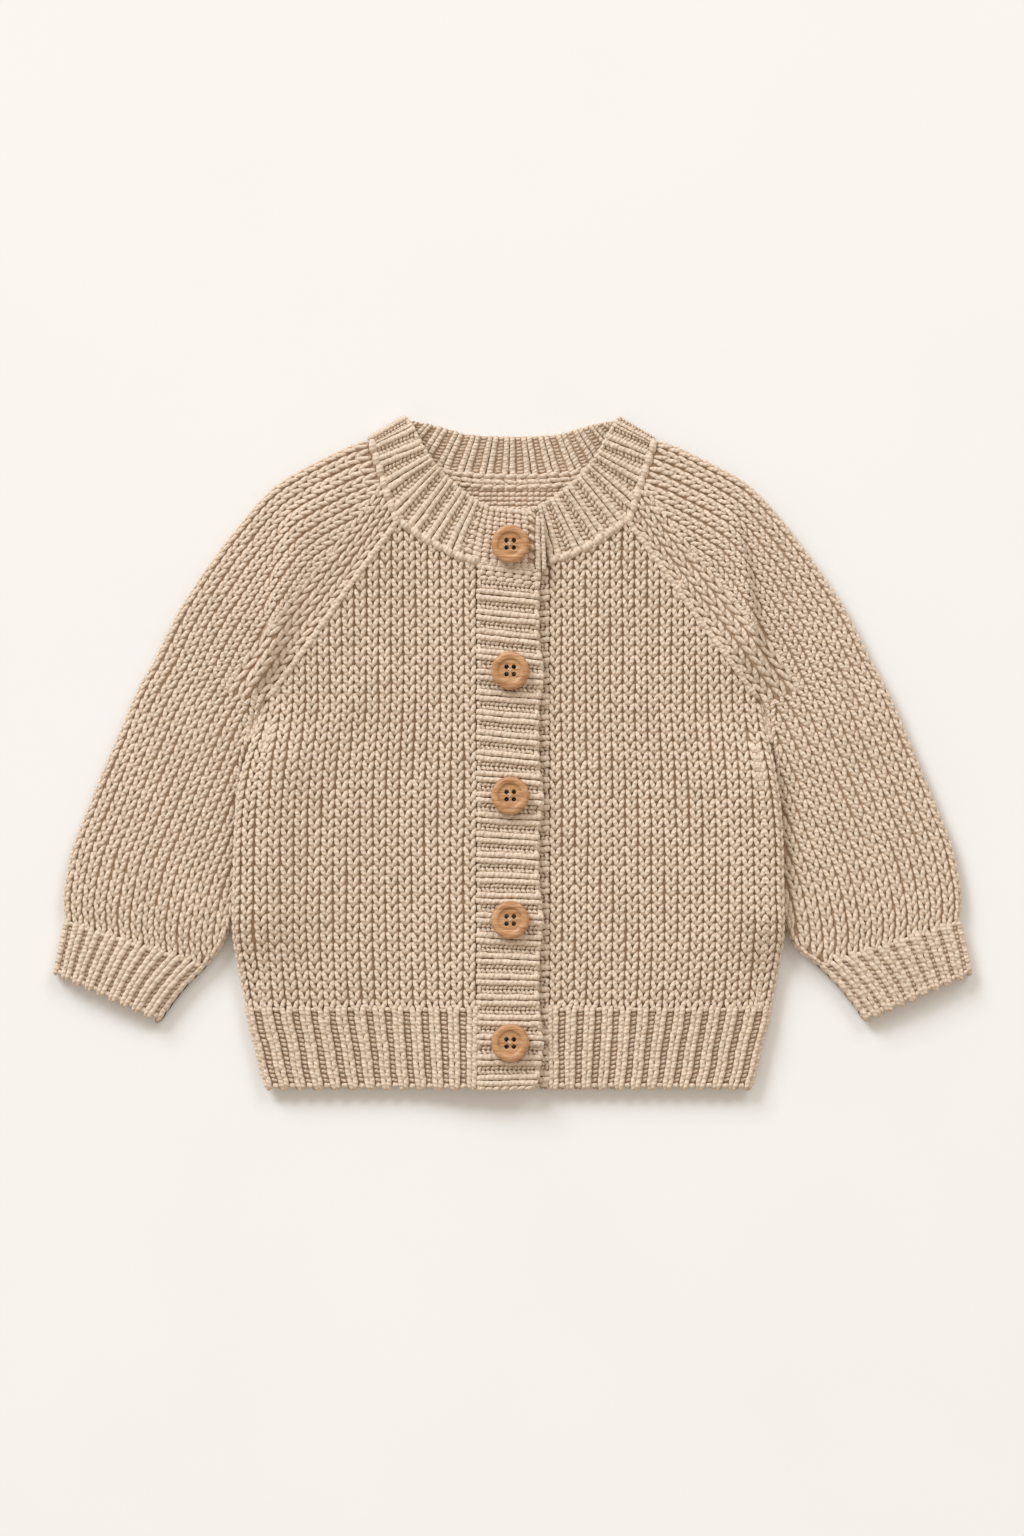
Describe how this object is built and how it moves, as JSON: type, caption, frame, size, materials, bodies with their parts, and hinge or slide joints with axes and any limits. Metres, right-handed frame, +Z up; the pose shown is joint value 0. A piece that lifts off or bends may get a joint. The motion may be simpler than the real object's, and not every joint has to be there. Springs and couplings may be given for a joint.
{
  "type": "knitted baby cardigan laid flat",
  "caption": "Knitted raglan cardigan for a baby, buttoned and laid flat on its back, with ribbed neckband, cuffs, hem and front bands and wooden buttons.",
  "frame": {"origin": "on the resting surface, under the middle of the garment's outline", "axes": "+X across the sleeves towards the wearer's left, +Y towards the neck, +Z up out of the surface"},
  "size_m": [0.4136, 0.3039, 0.0143],
  "materials": {
    "knit": "oatmeal heather wool, stockinette, matt with a soft nap",
    "rib": "oatmeal heather wool, one-by-one rib, matt with a soft nap",
    "button_wood": "turned pale wood, satin"
  },
  "bodies": {
    "root": {"back_panel": "knit", "front_right": "knit", "front_left": "knit", "sleeve_right": "knit", "sleeve_left": "knit", "hem_rib_back": "rib", "hem_rib_front_right": "rib", "hem_rib_front_left": "rib", "cuff_right": "rib", "cuff_left": "rib", "neckband": "rib", "buttonhole_band": "rib", "button_band": "rib", "button_1": "button_wood", "button_2": "button_wood", "button_3": "button_wood", "button_4": "button_wood", "button_5": "button_wood"}
  },
  "joints": []
}
